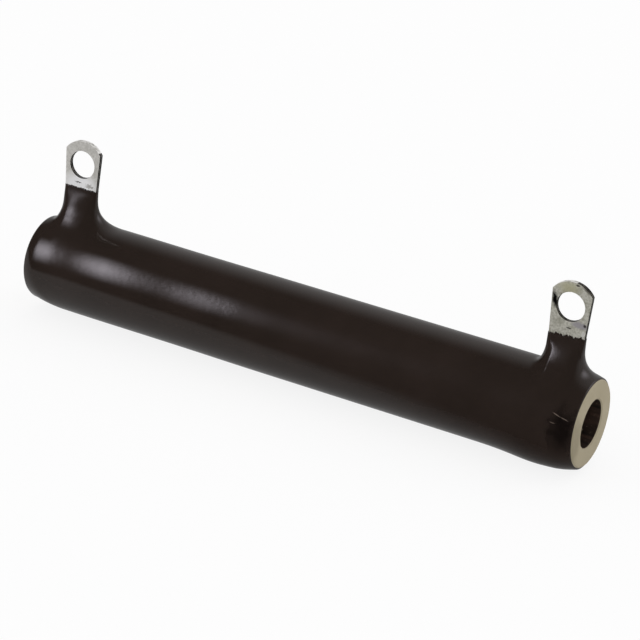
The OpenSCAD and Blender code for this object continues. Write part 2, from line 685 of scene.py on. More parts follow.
@dataclass(frozen=True)
class TinnedStrip(Finish):
    """Hot-tinned strip: a dull warm grey metal, mottled and stained by handling."""

    name: str = "tinned_strip"
    deep: str = "#c4c2bb"
    light: str = "#dddbd5"
    cloud: Grain = Grain(1.6 * MM, layers=5.0)
    fleck: Grain = Grain(0.35 * MM, layers=2.0)
    share: Pair = (0.14, 0.34)
    metal: float = 0.32
    roughness: float = 0.5
    unevenness: float = 0.1
    relief: float = 0.02 * MM
    relief_strength: float = 0.6
    marks: tuple[Mark, ...] = ()

    def paint(self, tree: NodeTree, place: NodeSocket) -> Inputs:
        """Mottles the grey and adds the marks: stains and any painted shade.

        Args:
            tree: Node tree of the material.
            place: Socket with object coordinates.

        Returns:
            What goes to the inputs of the main shader.
        """
        clouds = add_node(tree, "ShaderNodeTexNoise", self.cloud.inputs(place)).outputs["Fac"]
        flecks = add_node(tree, "ShaderNodeTexNoise", self.fleck.inputs(place)).outputs["Fac"]
        mottle = add_node(tree, "ShaderNodeMath", {0: clouds, 1: flecks}, operation="MULTIPLY")
        grey = self.two_tone(tree, mottle.outputs[0], self.share)
        rough = add_node(
            tree,
            "ShaderNodeMapRange",
            {
                "Value": clouds,
                "To Min": self.roughness + self.unevenness,
                "To Max": self.roughness - self.unevenness,
            },
        )
        bump = add_node(
            tree,
            "ShaderNodeBump",
            {"Height": clouds, "Distance": self.relief, "Strength": self.relief_strength},
        )
        return {
            "Base Color": self.lay_marks(tree, place, grey, self.marks),
            "Metallic": self.metal,
            "Roughness": rough.outputs["Result"],
            "Normal": bump.outputs["Normal"],
        }


@dataclass(frozen=True)
class SpottedMetal(Finish):
    """A metal whose surface has spots of two tones."""

    spot: Grain = Grain(1.0 * MM)
    share: Pair = (0.0, 1.0)
    metal: float = 1.0
    roughness: float = 0.5

    def paint(self, tree: NodeTree, place: NodeSocket) -> Inputs:
        """Spots the metal.

        Args:
            tree: Node tree of the material.
            place: Socket with object coordinates.

        Returns:
            What goes to the inputs of the main shader.
        """
        spots = add_node(tree, "ShaderNodeTexNoise", self.spot.inputs(place)).outputs["Fac"]
        return {
            "Base Color": self.two_tone(tree, spots, self.share),
            "Metallic": self.metal,
            "Roughness": self.roughness,
        }


@dataclass(frozen=True)
class ShearedEdge(SpottedMetal):
    """The strip's sheared edge: bare metal coloured dark, with lighter spots, so it reads as a dark,
    broken line.
    """

    name: str = "sheared_edge"
    deep: str = "#15110f"
    light: str = "#57514b"
    spot: Grain = Grain(0.7 * MM, layers=4.0)
    share: Pair = (0.45, 0.75)


@dataclass(frozen=True)
class RubbedEdge(SpottedMetal):
    """The strip's rounded tip: its edge carries a painted highlight, bright with duller spots in it.
    """

    name: str = "rubbed_edge"
    deep: str = "#b5b3ac"
    light: str = "#f4f3ef"
    spot: Grain = Grain(0.8 * MM)
    share: Pair = (0.35, 0.5)
    metal: float = 0.3
    roughness: float = 0.4


@dataclass(frozen=True)
class DrawnNichrome(SpottedMetal):
    """Drawn nickel-chromium wire: dull grey metal with a light oxide skin from firing."""

    name: str = "drawn_nichrome"
    deep: str = "#6f6a64"
    light: str = "#99938b"
    spot: Grain = Grain(1.2 * MM)
    roughness: float = 0.45


@dataclass(frozen=True)
class UnglazedCeramic(Finish):
    """Unglazed beige steatite, cut square: matt, with a fine grain and a few dark specks."""

    name: str = "unglazed_ceramic"
    deep: str = "#9d937b"
    light: str = "#aca38c"
    speck: str = "#6f6553"
    cloud: Grain = Grain(4 * MM, layers=6.0)
    # Drawn coarser than the real grain, so that it shows
    grain: Grain = Grain(0.35 * MM)
    speck_share: Pair = (0.66, 0.76)
    speck_strength: float = 0.5
    relief: float = 0.03 * MM
    relief_strength: float = 0.5
    roughness: float = 0.85
    shine: float = 0.25
    marks: tuple[Mark, ...] = ()

    def paint(self, tree: NodeTree, place: NodeSocket) -> Inputs:
        """Clouds the beige and sprinkles it with grain and specks.

        Args:
            tree: Node tree of the material.
            place: Socket with object coordinates.

        Returns:
            What goes to the inputs of the main shader.
        """
        clouds = add_node(tree, "ShaderNodeTexNoise", self.cloud.inputs(place)).outputs["Fac"]
        grain = add_node(tree, "ShaderNodeTexNoise", self.grain.inputs(place)).outputs["Fac"]
        beige = self.two_tone(tree, clouds)
        speck = linear(self.speck)
        dotted = blend(tree, grain, beige, speck, self.speck_share, self.speck_strength)
        bump = add_node(
            tree,
            "ShaderNodeBump",
            {"Height": grain, "Distance": self.relief, "Strength": self.relief_strength},
        )
        return {
            "Base Color": self.lay_marks(tree, place, dotted, self.marks),
            "Roughness": self.roughness,
            "Specular IOR Level": self.shine,
            "Normal": bump.outputs["Normal"],
        }


@dataclass(frozen=True)
class BoreGlaze(Finish):
    """Thin brown glaze that ran into the bore: dark, with rusty streaks and pale crumbs."""

    name: str = "bore_glaze"
    deep: str = "#24170f"
    light: str = "#4a3428"
    crumb: str = "#8a7f6c"
    streak_width: float = 0.8 * MM
    streak_length: float = 9 * MM
    # Its coordinates are drawn out to the size of a streak first
    streak: Grain = Grain(1.0, layers=4.0)
    streak_share: Pair = (0.35, 0.75)
    crumb_grain: Grain = Grain(0.45 * MM, layers=2.0)
    crumb_share: Pair = (0.68, 0.76)
    relief: float = 0.08 * MM
    relief_strength: float = 0.6
    roughness: float = 0.6

    def paint(self, tree: NodeTree, place: NodeSocket) -> Inputs:
        """Draws streaks along the bore and scatters crumbs on them.

        Args:
            tree: Node tree of the material.
            place: Socket with object coordinates.

        Returns:
            What goes to the inputs of the main shader.
        """
        thin = 1 / self.streak_width
        drawn_out = add_node(
            tree,
            "ShaderNodeMapping",
            {"Vector": place, "Scale": (1 / self.streak_length, thin, thin)},
        ).outputs[0]
        streaks = add_node(tree, "ShaderNodeTexNoise", self.streak.inputs(drawn_out))
        crumbs = add_node(tree, "ShaderNodeTexNoise", self.crumb_grain.inputs(place)).outputs["Fac"]
        brown = self.two_tone(tree, streaks.outputs["Fac"], self.streak_share)
        bump = add_node(
            tree,
            "ShaderNodeBump",
            {"Height": crumbs, "Distance": self.relief, "Strength": self.relief_strength},
        )
        return {
            "Base Color": blend(tree, crumbs, brown, linear(self.crumb), self.crumb_share),
            "Roughness": self.roughness,
            "Normal": bump.outputs["Normal"],
        }


@dataclass(frozen=True)
class Neck:
    """How the enamel climbs the foot of one lug."""

    side: Side
    top: float
    front_fillet: float
    side_fillets: Pair
    crown_shift: float
    crown_r: float
    lip_tilt: float
    lip_jag: float
    taper: float
    half_length: float = 3.18 * MM
    half_thickness: float = 0.54 * MM
    corner_r: float = 0.46 * MM
    # Largest share of the half thickness that a corner takes
    roundest: float = 0.96
    # Depths below the top at which the crown is full and the taper ends
    crown_drop: float = 3 * MM
    taper_drop: float = 5 * MM
    # Distances from the middle between which the front fillet gives way to a side fillet
    front_half: float = 1.5 * MM
    side_half: float = 5 * MM
    # Room that the lug takes in the neck, and how far the neck reaches along the tube
    pocket_half_x: float = 3.09 * MM
    pocket_half_y: float = 0.43 * MM
    pocket_from: float = 9.4 * MM
    reach: float = 6 * MM
    # Depths below the lip between which the skin gives way to it, and the lip's waves fade
    skin_fade: Pair = (0.3 * MM, 0.02 * MM)
    wave_fade: Pair = (0.9 * MM, 0.2 * MM)
    # Length and phase of each wave in the lip
    lip_waves: tuple[Pair, ...] = (
        (1.9 * MM, 0.3),
        (0.83 * MM, 2.0),
        (0.47 * MM, 0.7),
        (0.29 * MM, 4.1),
    )

    @property
    def x(self) -> float:
        """Place of the neck along the tube."""
        return self.side.value * TERMINAL_X

    def lip(self, along: np.ndarray) -> np.ndarray:
        """Works out how the enamel's edge runs up and down on the lug.

        Args:
            along: Places along the tube, from the middle of the neck.

        Returns:
            Height of the edge at each place.
        """
        # The waves seldom add up to more than twice one of them
        jag = sum(np.sin(2 * math.pi * along / length + phase) for length, phase in self.lip_waves)
        return self.top + self.lip_tilt * along + self.lip_jag * jag / 2

    def wall(self, places: np.ndarray) -> np.ndarray:
        """Measures how far places lie outside the neck's upright wall.

        Args:
            places: Places, as one row each.

        Returns:
            Distance of each place from the wall, below 0 inside it.
        """
        x, y, z = places.T
        along = x - self.x
        farthest = self.half_length + abs(self.crown_shift)
        crown = (farthest**2 - (along - self.crown_shift) ** 2) / (2 * self.crown_r)
        spread = self.taper * np.clip(self.top - z, 0, self.taper_drop)
        thick = self.half_thickness + spread + crown * smooth_step(0, self.crown_drop, self.top - z)
        corner = np.minimum(self.corner_r + 2 * spread, self.roundest * thick)
        beside = np.abs(along) - self.half_length + corner
        across = np.abs(y) - thick + corner
        outside = np.hypot(np.maximum(beside, 0), np.maximum(across, 0))
        inside = np.minimum(np.maximum(beside, across), 0)
        return outside + inside - corner + np.maximum(-z, 0)

    def join(self, depth: np.ndarray, places: np.ndarray) -> np.ndarray:
        """Runs the neck into the body with a hollow fillet, wider in front than at its sides.

        Args:
            depth: Distance of each place from the body's surface.
            places: Places, as one row each.

        Returns:
            Distance of each place from the joined surface.
        """
        wall = self.wall(places)
        along = places[:, 0] - self.x
        beside = smooth_step(self.front_half, self.side_half, np.abs(along))
        at_side = np.where(along < 0, *self.side_fillets)
        fillet = self.front_fillet + (at_side - self.front_fillet) * beside
        # A parabola joins the two where they are less than a fillet apart
        run = np.maximum(fillet - np.abs(depth - wall), 0)
        return np.minimum(depth, wall) - run**2 / (4 * fillet)

    def skin(self, places: np.ndarray) -> np.ndarray:
        """Tells the neck's outer skin from its lip and its pocket.

        Args:
            places: Places, as one row each.

        Returns:
            Weight of each place, 1 on the skin and 0 at the lip and in the pocket.
        """
        x, y, z = places.T
        off = np.abs(x - self.x)
        in_plan = (off < self.pocket_half_x) & (np.abs(y) < self.pocket_half_y)
        pocket = in_plan & (z > self.pocket_from)
        lip = self.lip(x - self.x)
        below_lip = 1 - smooth_step(lip - self.skin_fade[0], lip - self.skin_fade[1], z)
        return np.where(off < self.reach, below_lip * ~pocket, 1.0)


@dataclass(frozen=True)
class Swell:
    """A low swelling of the enamel, wide round the tube and short along it."""

    x: float
    half_length: float
    height: float
    angle: float
    half_angle: float

    def rise(self, x: np.ndarray, angle: np.ndarray) -> np.ndarray:
        """Works out the swelling.

        Args:
            x: Places along the tube.
            angle: Angles round the tube, 0 at the front and a quarter turn at the top.

        Returns:
            Rise of the surface at each place.
        """
        along = (x - self.x) / self.half_length
        off = np.abs(np.angle(np.exp(1j * (angle - self.angle)))) / self.half_angle
        return self.height * np.exp(-(along**2 + off**2) / 2)


@dataclass(frozen=True)
class Roll:
    """A long roll in the enamel's front, given by its slopes along the tube."""

    slopes: tuple[Pair, ...]
    angle: float
    half_angle: float

    def rise(self, x: np.ndarray, angle: np.ndarray) -> np.ndarray:
        """Adds the slopes up along the tube, from the roll's right end.

        Args:
            x: Places along the tube.
            angle: Angles round the tube, 0 at the front and a quarter turn at the top.

        Returns:
            Rise of the surface at each place.
        """
        off = np.angle(np.exp(1j * (angle - self.angle))) / self.half_angle
        rise = add_up(self.slopes, x) - add_up(self.slopes, np.array(self.slopes[-1][0]))
        return rise * np.exp(-(off**2) / 2)


@dataclass
class EnamelCoat:
    """The fired-on enamel: a long coat that swells over the bands and climbs the lugs."""

    necks: tuple[Neck, Neck]
    swells: tuple[Swell | Roll, ...]
    finish: VitreousEnamel
    sharp_angle: float = math.radians(50)
    coat_r: float = 7.93 * MM
    rim_x: float = HALF_LENGTH - 0.35 * MM
    # Lengths over which the left end rounds off, all round and where it is lit
    left_round: float = 6.8 * MM
    left_round_front: float = 2.0 * MM
    left_drop: float = 0.95 * MM
    left_sag: float = 0.14 * MM
    # Distances left of the middle between which the underside begins to sag
    sag_run: Pair = (5 * MM, 36 * MM)
    right_round: float = 3.8 * MM
    right_drop: float = 0.66 * MM
    round_power: float = 1.8
    ring_points: int = 32
    patch_half_x: float = 4.4 * MM
    patch_columns: int = 6
    patch_rows: int = 4
    middle_rings: int = 18
    # Gaps between a neck's patch and the two rings beside it
    run_out: Pair = (4 * MM, 1.9 * MM)
    # Rings of a neck's foot: half length, half thickness, height and share of its curve kept
    foot_rings: tuple[tuple[float, float, float, float], ...] = (
        (3.9 * MM, 2.6 * MM, 8.5 * MM, 0.8),
        (3.4 * MM, 1.9 * MM, 9.8 * MM, 0.3),
        (3.12 * MM, 1.1 * MM, 11.6 * MM, 0.0),
    )
    # Rings at a neck's top: half length, half thickness and depth below the top
    top_rings: tuple[Triple, ...] = (
        (3.16 * MM, 0.55 * MM, 0.35 * MM),
        (3.13 * MM, 0.5 * MM, 0.0),
    )
    subdivisions: int = 3
    lug_half_width: float = 3.07 * MM
    lug_half_thickness: float = 0.41 * MM
    pocket_floor: float = 9.6 * MM
    # Least thickness over the tube, and how far the rims stand out and round off
    rim_thickness: float = 0.04 * MM
    rim_reach: float = 0.12 * MM
    rim_round: float = 0.06 * MM
    winding_r: float = 7.64 * MM
    band_half_width: float = 3.02 * MM
    settle_passes: int = 5

    def radius(self, x: Values, angle: Values) -> np.ndarray:
        """Works out the enamel's outer radius.

        Args:
            x: Places along the tube.
            angle: Angles round the tube, 0 at the front and a quarter turn at the top.

        Returns:
            Radius at each place.
        """
        front = np.clip(np.cos(angle - LIT_ANGLE), 0, 1)
        left_round = self.left_round + (self.left_round_front - self.left_round) * front
        left = np.maximum(left_round - HALF_LENGTH - x, 0) / left_round
        right = np.maximum(self.right_round - HALF_LENGTH + x, 0) / self.right_round
        drop = self.left_drop * left**self.round_power + self.right_drop * right**self.round_power
        below = np.clip(-np.sin(angle), 0, 1)
        sag = self.left_sag * smooth_step(*self.sag_run, -x) * below
        free = self.coat_r - drop - sag + sum(swell.rise(x, angle) for swell in self.swells)
        return np.maximum(free, core_radius(x) + self.rim_thickness)

    def stations(self) -> list[float]:
        """Places the cage's rings, closest at the necks and the rims.

        Returns:
            Places along the tube, from the left rim to the right one.
        """
        patch_end = TERMINAL_X + self.patch_half_x
        patch = np.linspace(TERMINAL_X - self.patch_half_x, patch_end, self.patch_columns + 1)
        run_out = [patch[0] - gap for gap in self.run_out]
        rim = [(patch_end + self.rim_x) / 2, self.rim_x]
        half = [*run_out, *patch, *rim]
        middle = np.linspace(-run_out[0], run_out[0], self.middle_rings + 1)[1:-1]
        return [*(-x for x in reversed(half)), *middle, *half]

    def build(self) -> Workpiece:
        """Models the coat.

        Returns:
            The piece in object mode, closed and facing outwards.
        """
        piece = self._cage()
        for neck in self.necks:
            self._raise_neck(piece, neck)
        piece.leave()
        piece.modify("SUBSURF", levels=self.subdivisions, render_levels=self.subdivisions)
        self._settle(piece)
        self._line(piece)
        piece.face_outwards()
        return piece

    def dress(self, body: Workpiece) -> None:
        """Gives the built coat its finish."""
        body.dress(self.sharp_angle, self.finish.material())

    def _cage(self) -> Workpiece:
        """Extrudes a coarse ring along the tube.

        Returns:
            The open cage, in edit mode.
        """
        # A smoothed ring shrinks to this share of the cage's radius
        shrink = (2 + math.cos(2 * math.pi / self.ring_points)) / 3
        rings = [(x, float(self.radius(x, 0.0)) / shrink) for x in self.stations()]
        piece = Workpiece.ring("enamel_body", self.ring_points, *rings[0])
        piece.lathe(rings)
        return piece

    def _raise_neck(self, piece: Workpiece, neck: Neck) -> None:
        """Extrudes a patch on top of the cage up the foot of a lug, and sinks a pocket in it.

        Args:
            piece: The cage.
            neck: The neck to raise.
        """
        patch_half_y = self.coat_r * math.sin(math.pi * self.patch_rows / self.ring_points)
        piece.pick(
            Element.FACE,
            lambda p: p.z > 0 and abs(p.y) < patch_half_y and abs(p.x - neck.x) < self.patch_half_x,
        )
        size, z = (self.patch_half_x, patch_half_y), self.coat_r
        rings = [
            *self.foot_rings,
            *((half_x, half_y, neck.top - depth, 1.0) for half_x, half_y, depth in self.top_rings),
            (self.lug_half_width, self.lug_half_thickness, neck.top, 1.0),
        ]
        for half_x, half_y, next_z, curve in rings:
            piece.extrude((0, 0, next_z - z))
            piece.resize((half_x / size[0], half_y / size[1], curve), (neck.x, 0, next_z))
            size, z = (half_x, half_y), next_z
        bpy.ops.mesh.region_to_loop()
        bpy.ops.transform.edge_crease(value=1.0)
        piece.pick(
            Element.FACE,
            lambda p: p.z > z - SLACK and abs(p.y) < size[1] and abs(p.x - neck.x) < size[0],
        )
        piece.extrude((0, 0, self.pocket_floor - z))

    def _settle(self, piece: Workpiece) -> None:
        """Lets the enamel flow together, sag and swell as it does in firing.

        Args:
            piece: The smoothed cage.
        """
        places = piece.points()
        for neck in self.necks:
            along = places[:, 0] - neck.x
            low, high = (neck.top - depth for depth in neck.wave_fade)
            near = smooth_step(low, high, places[:, 2]) * (np.abs(along) < self.patch_half_x)
            places[:, 2] += near * (neck.lip(along) - neck.top)
        weight = np.min([neck.skin(places) for neck in self.necks], axis=0)
        at_rim = np.abs(places[:, 0]) > self.rim_x - self.rim_reach
        probes = np.eye(3) * HAIR
        for _ in range(self.settle_passes):
            rises = [self._outside(places + p) - self._outside(places - p) for p in probes]
            slope = np.stack(rises, axis=1) / (2 * HAIR)
            slope[at_rim, 0] = 0
            step = weight * self._outside(places) / (slope**2).sum(axis=1)
            places -= step[:, None] * slope
        piece.move_points(places)

    def _outside(self, places: np.ndarray) -> np.ndarray:
        """Measures how far places lie outside the fired coat, where body and necks are one.

        Args:
            places: Places, as one row each.

        Returns:
            Distance of each place from the surface, below 0 inside it.
        """
        x, y, z = places.T
        depth = np.hypot(y, z) - self.radius(x, np.arctan2(z, -y))
        for neck in self.necks:
            depth = neck.join(depth, places)
        return depth

    def _line(self, piece: Workpiece) -> None:
        """Closes the coat with rounded rims and an inner wall that clears the bands and winding.

        Args:
            piece: The settled skin.
        """
        bpy.ops.object.mode_set(mode="EDIT")
        outer, inner = TERMINAL_X + self.band_half_width, TERMINAL_X - self.band_half_width
        end = self.rim_x + self.rim_reach
        half_wall = [(outer, CORE_R), (outer, BAND_R), (inner, BAND_R), (inner, self.winding_r)]
        right_end = [(end, CORE_R + self.rim_round), (end, CORE_R)]
        left_r = float(core_radius(-end))
        left_end = [
            (-end, left_r + self.rim_round),
            (-end, left_r),
            (CORE_ROUND - HALF_LENGTH, CORE_R),
        ]
        wall = [*left_end, *((-x, r) for x, r in half_wall), *reversed([*right_end, *half_wall])]
        bpy.ops.mesh.select_mode(type=Element.EDGE.name)
        bpy.ops.mesh.select_all(action="DESELECT")
        add_ring(self.ring_points * 2**self.subdivisions, *wall[0])
        piece.lathe(wall)
        piece.close_between(lambda p: p.x < 0)
        piece.close_between(lambda p: p.x > 0)
        piece.leave()


@dataclass
class LugTerminal:
    """A terminal: a strip that runs round the tube and stands up as a lug of two leaves."""

    side: Side
    finish: TinnedStrip
    # How far past the lug's middle, along the tube, the tip's edges carry the painted highlight
    rubbed_to: float = 3 * MM
    sharp_angle: float = math.radians(35)
    thickness: float = 0.4 * MM
    half_width: float = 3.0 * MM
    tip_half_width: float = 3.45 * MM
    taper_z: float = 13.0 * MM
    bend_r: float = 0.8 * MM
    seam: float = 0.03 * MM
    hole_points: int = 96
    corner_steps: int = 3600
    bend_steps: int = 8
    band_steps: int = 40
    edge_round: float = 0.06 * MM
    edge_segments: int = 2
    edge_angle: float = math.radians(50)
    # Depth below the taper to which edges show, and parts of the normal that tell faces apart
    edge_drop: float = 2 * MM
    sheet_facing: float = 0.6
    side_facing: float = 0.8

    @property
    def x(self) -> float:
        """Place of the terminal along the tube."""
        return self.side.value * TERMINAL_X

    @property
    def bend(self) -> Pair:
        """Middle of the bend from the lug into the band, as Y and Z."""
        y = self.seam / 2 + self.thickness + self.bend_r
        return y, math.sqrt((BAND_R + self.bend_r) ** 2 - y * y)

    def reach(self, angle: float) -> float:
        """Measures the lug's outline from the middle of its hole.

        Args:
            angle: Direction, 0 straight up and turning towards the side.

        Returns:
            Distance from the middle of the hole to the outline.
        """
        side, up = abs(math.sin(angle)), math.cos(angle)
        slope = (self.tip_half_width - self.half_width) / (LUG_TIP_Z - self.taper_z)
        hole_half = self.half_width + slope * (LUG_HOLE_Z - self.taper_z)
        limits = [LUG_TIP_Z - LUG_HOLE_Z] if up >= 0 else []
        if side > slope * up:
            limits.append(hole_half / (side - slope * up))
        if up < 0:
            limits.append((LUG_HOLE_Z - self.taper_z) / -up)
        return min(limits)

    def corners(self) -> list[float]:
        """Finds the outline's four corners, where its reach bends most.

        Returns:
            Their directions, seen from the hole.
        """
        angles = np.linspace(0, math.pi, self.corner_steps + 1)
        reach = np.array([self.reach(a) for a in angles])
        bend = np.abs(np.diff(reach, 2))
        half = self.corner_steps // 2
        high = angles[1 + int(np.argmax(bend[:half]))]
        low = angles[1 + half + int(np.argmax(bend[half:]))]
        return [high, low, -high, -low]

    def build(self) -> Workpiece:
        """Models the terminal.

        Returns:
            The piece in object mode, closed and facing outwards.
        """
        bpy.ops.object.select_all(action="DESELECT")
        bpy.ops.mesh.primitive_circle_add(
            vertices=self.hole_points,
            radius=LUG_HOLE_R,
            location=(self.x, self.seam / 2, LUG_HOLE_Z),
            rotation=(math.pi / 2, 0, 0),
        )
        piece = Workpiece(f"lug_terminal_{self.side.label}")
        self._blank(piece)
        self._fold(piece)
        piece.leave()
        piece.modify("MIRROR", use_axis=(False, True, False), merge_threshold=HAIR)
        self._thicken(piece)
        return piece

    def dress(self, strip: Workpiece, sheared: Material, tip_highlight: Material) -> None:
        """Gives the built strip its finishes.

        Args:
            strip: The piece that build made.
            sheared: Finish of its sheared edges.
            tip_highlight: Finish of the edges of its tip, which carry a painted highlight.
        """
        strip.dress(self.sharp_angle, self.finish.material(), sheared, tip_highlight)
        strip.paint_faces(self.kind)

    def _blank(self, piece: Workpiece) -> None:
        """Cuts one leaf of the lug: a flat ring of faces from the hole to the outline.

        Args:
            piece: The hole's rim.
        """
        piece.extrude()
        share = (LUG_TIP_Z - LUG_HOLE_Z) / LUG_HOLE_R
        centre = Vector((self.x, self.seam / 2, LUG_HOLE_Z))
        piece.resize((share, 1, share), centre)
        shape = bmesh.from_edit_mesh(piece.obj.data)
        outline = [v for v in shape.verts if v.select]
        angles = {v: math.atan2(v.co.x - centre.x, v.co.z - centre.z) for v in outline}
        for corner in self.corners():
            angles[min(outline, key=lambda v: abs(angles[v] - corner))] = corner
        for point, angle in angles.items():
            point.co = centre + self.reach(angle) * Vector((math.sin(angle), 0, math.cos(angle)))
        bmesh.update_edit_mesh(piece.obj.data)

    def _fold(self, piece: Workpiece) -> None:
        """Extrudes the leaf's foot down, bends it outwards and runs it half round the tube.

        Args:
            piece: The flat leaf.
        """
        bend_y, bend_z = self.bend
        piece.pick(Element.EDGE, lambda p: p.z < self.taper_z + HAIR)
        piece.extrude((0, 0, bend_z - self.taper_z))
        turn = math.atan2(bend_z, bend_y)
        bpy.ops.mesh.spin(
            steps=self.bend_steps, angle=-turn, center=(self.x, bend_y, bend_z), axis=(1, 0, 0)
        )
        bpy.ops.mesh.spin(
            steps=self.band_steps, angle=turn + math.pi / 2, center=(self.x, 0, 0), axis=(1, 0, 0)
        )

    def _thicken(self, piece: Workpiece) -> None:
        """Gives the folded sheet its thickness outwards, and rounds its edges.

        Args:
            piece: The folded sheet.
        """
        piece.face_outwards()
        lowest = min(piece.obj.data.polygons, key=lambda face: face.center.z)
        outwards = -1.0 if lowest.normal.z > 0 else 1.0
        piece.modify("SOLIDIFY", thickness=self.thickness, offset=outwards)
        piece.modify(
            "BEVEL",
            width=self.edge_round,
            segments=self.edge_segments,
            limit_method="ANGLE",
            angle_limit=self.edge_angle,
        )
        piece.face_outwards()

    def kind(self, place: Vector, normal: Vector) -> StripFace:
        """Tells the sheet from its cut edges.

        Args:
            place: Middle of a face.
            normal: Direction in which the face looks.

        Returns:
            Kind of the face.
        """
        if place.z < self.taper_z - self.edge_drop or abs(normal.y) > self.sheet_facing:
            return StripFace.SHEET
        in_hole = math.hypot(place.x - self.x, place.z - LUG_HOLE_Z) < LUG_HOLE_R + self.edge_round
        if in_hole or abs(normal.x) > self.side_facing or place.x > self.x + self.rubbed_to:
            return StripFace.SHEARED
        # The tip's other edges carry the painted highlight
        return StripFace.RUBBED


@dataclass
class CeramicCore:
    """The ceramic tube: square ends with softened edges, and a bore with a run of glaze in it."""

    face: UnglazedCeramic
    bore: BoreGlaze
    sharp_angle: float = math.radians(30)
    chamfer: float = 0.2 * MM
    ring_points: int = 160
    face_rings: int = 4
    round_steps: int = 7
    chip: float = 0.03 * MM
    # Width of an uneven corner, in chamfers
    chip_width: float = 1.1
    # Waves in it: their number round the tube, phase and twist along the tube
    chip_waves: tuple[Triple, ...] = ((7, 1, 0), (13, 0, 40), (29, 0, 0))
    # Part of the normal along the tube from which a face belongs to an end
    end_facing: float = 0.5

    def build(self) -> Workpiece:
        """Models the tube.

        Returns:
            The piece in object mode, closed and facing outwards.
        """
        inner, outer = BORE_R + self.chamfer, CORE_R - self.chamfer
        face = [(HALF_LENGTH, r) for r in np.linspace(inner, outer, self.face_rings)]
        right = [(HALF_LENGTH - self.chamfer, BORE_R), *face, (HALF_LENGTH - self.chamfer, CORE_R)]
        turns = np.linspace(0, math.pi / 2, self.round_steps)
        round_x = CORE_ROUND * (1 - np.sin(turns)) - HALF_LENGTH
        rounded = [(x, float(core_radius(x))) for x in reversed(round_x[:-1])]
        left = [
            (self.chamfer - HALF_LENGTH, BORE_R),
            (-HALF_LENGTH, inner),
            (-HALF_LENGTH, CORE_R - CORE_ROUND),
        ]
        rings = [*left, *rounded, *reversed(right)]
        piece = Workpiece.ring("ceramic_tube", self.ring_points, *rings[0])
        piece.lathe(rings)
        piece.close_between(lambda p: math.hypot(p.y, p.z) < BORE_R + SLACK)
        piece.leave()
        self._chip(piece)
        piece.face_outwards()
        return piece

    def dress(self, tube: Workpiece) -> None:
        """Gives the built tube and its bore their finishes."""
        tube.dress(self.sharp_angle, self.face.material(), self.bore.material())
        tube.paint_faces(self.kind)

    def kind(self, place: Vector, normal: Vector) -> CoreFace:
        """Tells the bore from the bare ceramic.

        Args:
            place: Middle of a face.
            normal: Direction in which the face looks.

        Returns:
            Kind of the face.
        """
        at_bore = math.hypot(place.y, place.z) < BORE_R + SLACK
        return CoreFace.BORE if at_bore and abs(normal.x) < self.end_facing else CoreFace.BARE

    def _chip(self, piece: Workpiece) -> None:
        """Makes the corners of the end faces a little uneven, as pressed ceramic is.

        Args:
            piece: The tube.
        """
        places = piece.points()
        x, y, z = places.T
        radius, angle = np.hypot(y, z), np.arctan2(z, y)
        at_end = np.abs(x) > HALF_LENGTH - SLACK
        width = self.chip_width * self.chamfer
        corner = at_end * ((radius > CORE_R - width) | (radius < BORE_R + width))
        waves = [np.sin(n * angle + phase + x * twist) for n, phase, twist in self.chip_waves]
        share = 1 + corner * self.chip * sum(waves) / len(waves) / radius
        places[:, 1] *= share
        places[:, 2] *= share
        piece.move_points(places)


@dataclass(frozen=True)
class PhotoCamera:
    """The camera, at the viewing angle that the end ring, the outline and the lug holes give."""

    azimuth: float = math.radians(26.446)
    elevation: float = math.radians(22.319)
    roll: float = math.radians(6.3206)
    distance: float = 434.2 * MM
    target: Triple = (2.2145 * MM, 0.0, 3.4332 * MM)
    focal_pixels: float = 2687.7
    frame_pixels: float = 640.0
    # Blender gives the width of the sensor and the lens in millimetres
    sensor_width: float = 36.0
    nearest: float = 10 * MM

    def place(self) -> None:
        """Makes the camera and hands it to the scene."""
        level, rise = math.cos(self.elevation), math.sin(self.elevation)
        back = Vector((math.sin(self.azimuth) * level, -math.cos(self.azimuth) * level, rise))
        flat_right = Vector((0, 0, 1)).cross(back).normalized()
        flat_up = back.cross(flat_right)
        right = flat_right * math.cos(self.roll) + flat_up * math.sin(self.roll)
        up = back.cross(right)
        data = bpy.data.cameras.new("photo_camera")
        data.sensor_width = self.sensor_width
        data.lens = self.focal_pixels * self.sensor_width / self.frame_pixels
        data.clip_start = self.nearest
        camera = bpy.data.objects.new("photo_camera", data)
        turn = Matrix((right, up, back)).transposed().to_4x4()
        camera.matrix_world = Matrix.Translation(Vector(self.target) + back * self.distance) @ turn
        bpy.context.scene.collection.objects.link(camera)
        bpy.context.scene.camera = camera


